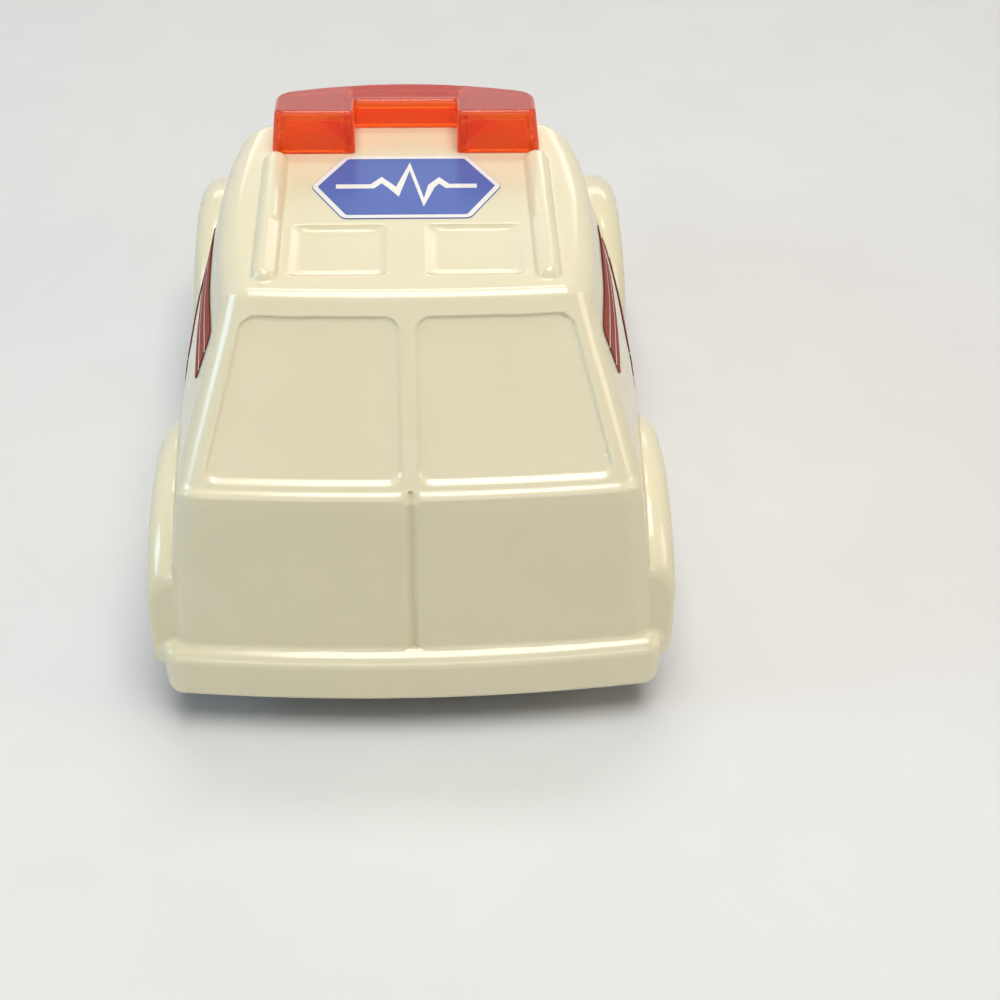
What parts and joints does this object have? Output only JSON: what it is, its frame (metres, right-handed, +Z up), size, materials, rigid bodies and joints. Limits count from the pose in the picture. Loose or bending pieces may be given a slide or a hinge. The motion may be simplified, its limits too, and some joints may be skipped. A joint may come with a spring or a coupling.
{
  "type": "toy ambulance",
  "caption": "Small moulded toy ambulance with a cream van body, a clear red light bar, ribbed roof, wheel flares and rolling axles on a flat black base.",
  "frame": {"origin": "on the ground under the middle of the toy's length and width", "axes": "+Y forward along the toy, +X to its right-hand side, +Z up"},
  "size_m": [0.0472, 0.076, 0.0473],
  "materials": {
    "shell": "glossy cream moulding",
    "base": "satin black moulding",
    "lens": "clear orange-red moulding",
    "badge": "printed film, blue with white lines",
    "stripe": "printed film, brick red",
    "tyre": "soft black",
    "hub": "silver-grey moulding",
    "steel": "bright wire and screws"
  },
  "bodies": {
    "car": {"body_shell": "shell", "base_plate": "base", "light_bar": "lens", "roof_badge": "badge", "lower_stripe_left": "stripe", "lower_stripe_right": "stripe", "upper_stripe_left": "stripe", "upper_stripe_right": "stripe", "front_axle_keeper": "base", "rear_axle_keeper": "base", "base_screws": "steel"},
    "front_axle_set": {"front_axle": "steel", "front_left_hub": "hub", "front_right_hub": "hub", "front_left_tyre": "tyre", "front_right_tyre": "tyre"},
    "rear_axle_set": {"rear_axle": "steel", "rear_left_hub": "hub", "rear_right_hub": "hub", "rear_left_tyre": "tyre", "rear_right_tyre": "tyre"}
  },
  "joints": [
    {"name": "front_axle_roll", "type": "hinge", "parent": "car", "child": "front_axle_set", "pos_m": [0, 0.02, 0.0082], "axis": [1, 0, 0], "continuous": true},
    {"name": "rear_axle_roll", "type": "hinge", "parent": "car", "child": "rear_axle_set", "pos_m": [0, -0.024, 0.0082], "axis": [1, 0, 0], "continuous": true}
  ]
}
